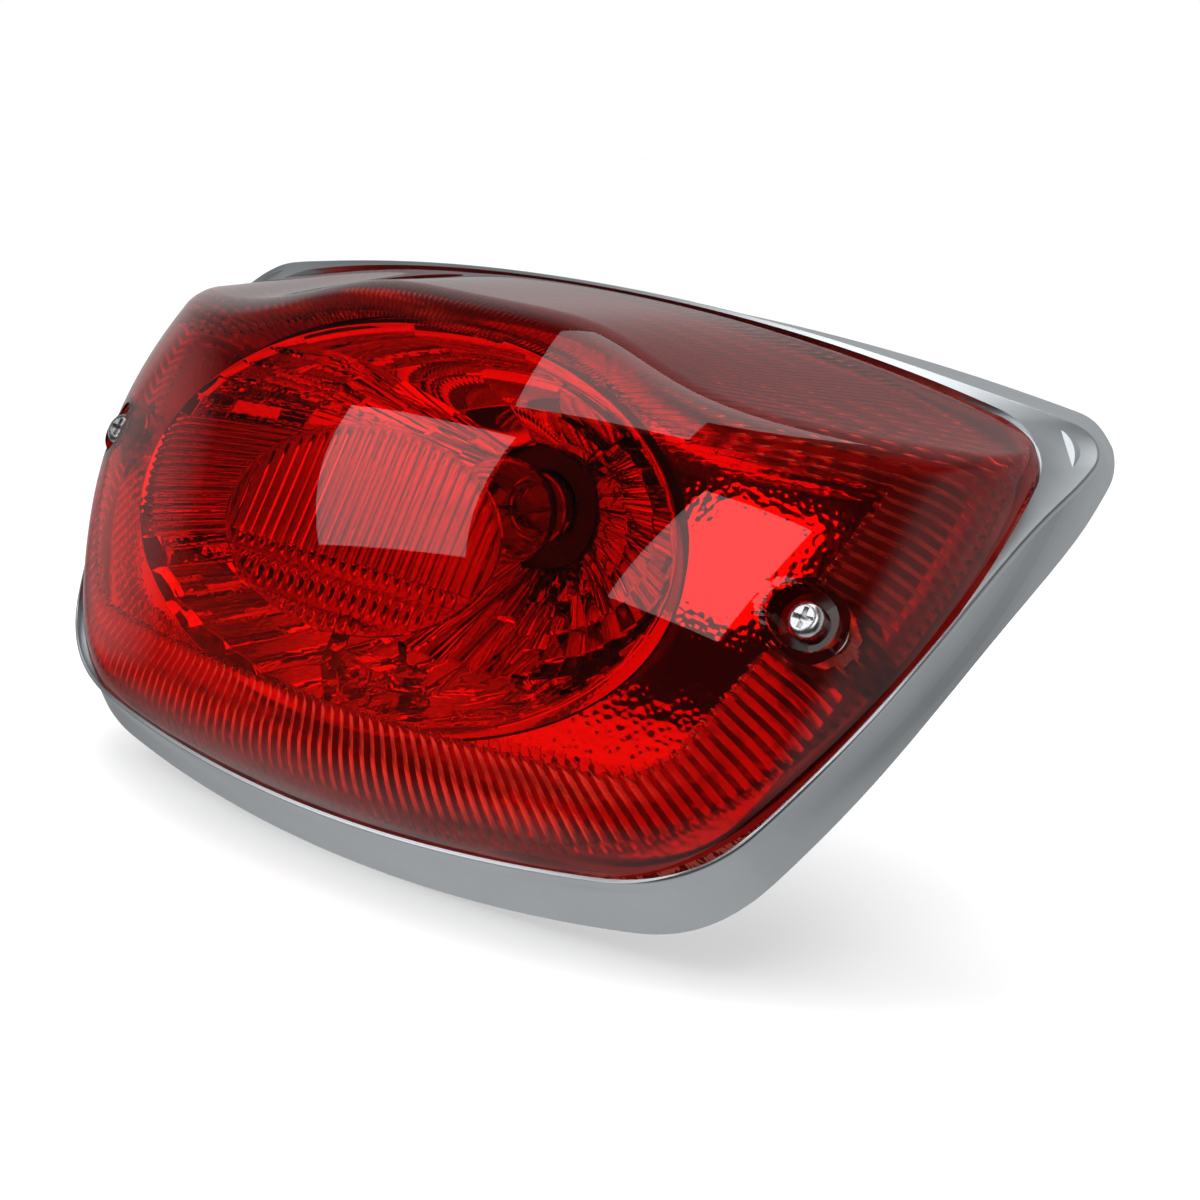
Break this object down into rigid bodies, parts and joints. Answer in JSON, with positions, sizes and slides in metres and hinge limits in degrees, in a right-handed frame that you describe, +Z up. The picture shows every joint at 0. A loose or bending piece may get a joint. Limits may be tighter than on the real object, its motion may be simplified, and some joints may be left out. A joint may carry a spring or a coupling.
{
  "type": "tail light",
  "caption": "Motorcycle tail light: red lens with a flared chrome bezel, elliptical reflector bowl, diffuser disc, bayonet bulb in a twist-out holder, and two rear mounting studs.",
  "frame": {"origin": "on the optical axis, in the plane of the rubber pads at the rear, midway between the two mounting studs", "axes": "+X across the lamp, +Y forwards into the vehicle along the studs, +Z up; the lens faces -Y"},
  "size_m": [0.2558, 0.1354, 0.1314],
  "materials": {
    "bezel_chrome": "bright chrome plated plastic",
    "bulb_glass": "clear",
    "cap_brass": "drawn",
    "cap_glass": "black glass",
    "carrier_plastic": "phenolic brown",
    "diffuser_clear": "clear, ribbed",
    "filament": "drawn wire",
    "gasket_rubber": "matt black",
    "holder_plastic": "black",
    "housing_plastic": "black, fine texture",
    "insert_brass": "turned",
    "lens_red": "clear red, glossy",
    "pad_rubber": "matt black",
    "reflector_metal": "vacuum metallised",
    "screw_zinc": "bright zinc plated",
    "seal_rubber": "silicone",
    "shell_steel": "zinc plated",
    "solder": "tinned",
    "spring_steel": "drawn wire",
    "stud_zinc": "zinc plated",
    "terminal_brass": "tinned brass"
  },
  "bodies": {
    "base": {"rear_housing": "housing_plastic", "reflector": "reflector_metal", "reflector_bowl": "reflector_metal", "chrome_bezel": "bezel_chrome", "lens_gasket": "gasket_rubber", "screw_inserts": "insert_brass", "reflector_screws": "screw_zinc", "bezel_screws": "screw_zinc", "diffuser_disc": "diffuser_clear", "diffuser_bracket": "diffuser_clear", "body_gasket": "gasket_rubber", "mounting_studs": "stud_zinc", "stud_grommets": "pad_rubber", "drain_plug": "pad_rubber"},
    "lens": {"outer_lens": "lens_red", "lens_screws": "screw_zinc"},
    "holder": {"holder_body": "holder_plastic", "holder_seal": "seal_rubber", "socket_shell": "shell_steel", "terminal_blades": "terminal_brass", "contact_spring": "spring_steel"},
    "carriage": {"contact_carrier": "carrier_plastic", "contact_plungers": "terminal_brass"},
    "bulb": {"bulb_glass": "bulb_glass", "bulb_cap": "cap_brass", "bulb_insulator": "cap_glass", "bulb_pins": "cap_brass", "bulb_contacts": "solder", "bulb_filaments": "filament"}
  },
  "joints": [
    {"name": "lens_removal", "type": "slide", "parent": "base", "child": "lens", "axis": [0, -0.8829, 0.4695], "range_m": [0, 0.08]},
    {"name": "holder_twist", "type": "hinge", "parent": "base", "child": "holder", "pos_m": [0, 0, 0], "axis": [0, 1, 0], "range_deg": [0, 35]},
    {"name": "bulb_push", "type": "slide", "parent": "holder", "child": "carriage", "axis": [0, 1, 0], "range_m": [0, 0.0015], "stiffness_N_per_m": 250, "springref_m": -0.002, "deforming": ["contact_spring"]},
    {"name": "bulb_twist", "type": "hinge", "parent": "carriage", "child": "bulb", "pos_m": [0, 0, 0], "axis": [0, 1, 0], "range_deg": [0, 20]}
  ]
}
